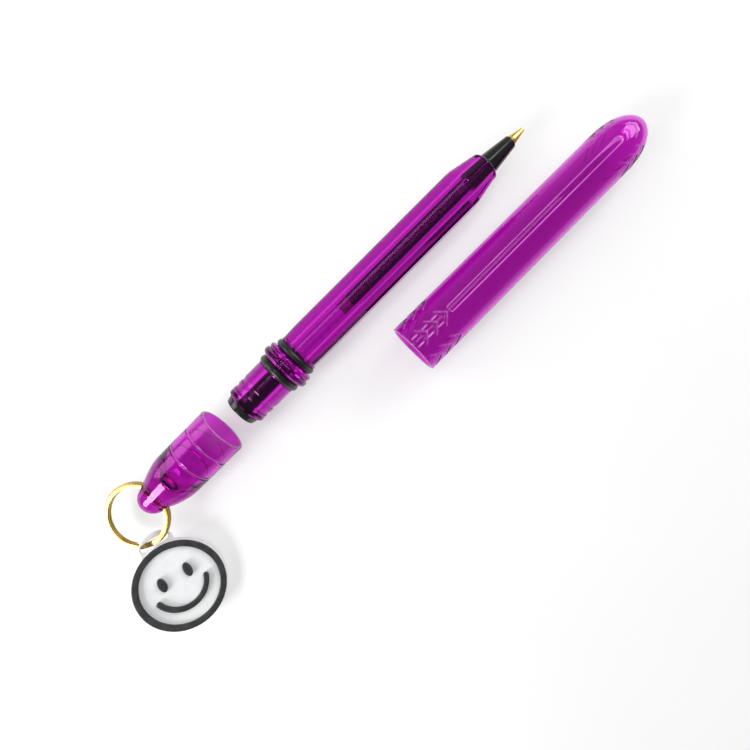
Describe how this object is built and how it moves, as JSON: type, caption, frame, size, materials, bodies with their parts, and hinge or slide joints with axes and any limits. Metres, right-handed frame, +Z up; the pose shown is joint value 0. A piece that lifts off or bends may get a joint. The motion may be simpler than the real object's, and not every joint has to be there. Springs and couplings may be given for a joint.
{
  "type": "pocket ballpoint pen",
  "caption": "Pocket pen taken apart: hexagonal translucent barrel with its refill, long slip-on cap, and rear cap with a split ring and a round face charm.",
  "frame": {"origin": "on the floor, below the middle of the whole object's box", "axes": "+X along the pen towards the writing tip, +Y from the long cap towards the barrel, +Z up"},
  "size_m": [0.1602, 0.0366, 0.0126],
  "materials": {
    "magenta_plastic": "gloss translucent",
    "o_ring_rubber": "satin",
    "black_plastic": "gloss",
    "clear_plastic": "gloss clear",
    "ink": "wet gloss",
    "grease": "soft gloss",
    "brass": "polished",
    "carbide": "polished",
    "gold_plated_steel": "polished gold plate",
    "white_vinyl": "satin soft vinyl",
    "dark_vinyl": "satin soft vinyl"
  },
  "bodies": {
    "barrel_unit": {"barrel": "magenta_plastic", "front_o_ring": "o_ring_rubber", "rear_o_ring": "o_ring_rubber", "rear_plug": "black_plastic", "refill_tube": "clear_plastic", "ink_column": "ink", "grease_follower": "grease", "tip_holder": "black_plastic", "writing_point": "brass"},
    "ball": {"writing_ball": "carbide"},
    "long_cap": {"long_cap": "magenta_plastic"},
    "end_cap": {"end_cap": "magenta_plastic"},
    "key_ring": {"split_ring": "gold_plated_steel"},
    "charm": {"charm_base": "white_vinyl", "charm_outline": "dark_vinyl", "charm_left_eye": "dark_vinyl", "charm_right_eye": "dark_vinyl", "charm_mouth": "dark_vinyl"}
  },
  "joints": [
    {"name": "ball_roll", "type": "hinge", "parent": "barrel_unit", "child": "ball", "pos_m": [0.0598, 0.0103, 0.0063], "axis": [0, 1, 0], "continuous": true},
    {"name": "long_cap_slide", "type": "slide", "parent": "barrel_unit", "child": "long_cap", "axis": [1, 0, 0], "range_m": [-0.0188, 0.0536]},
    {"name": "end_cap_slide", "type": "slide", "parent": "barrel_unit", "child": "end_cap", "axis": [1, 0, 0], "range_m": [0, 0.0172]},
    {"name": "key_ring_swing", "type": "hinge", "parent": "end_cap", "child": "key_ring", "pos_m": [-0.0581, 0.0103, 0.0063], "axis": [0, 1, 0], "range_deg": [-90, 90]},
    {"name": "charm_swing", "type": "hinge", "parent": "key_ring", "child": "charm", "pos_m": [-0.06676, 0.0032, 0.00493], "axis": [0.954, -0.2588, 0.1511], "range_deg": [-60, 60]}
  ]
}
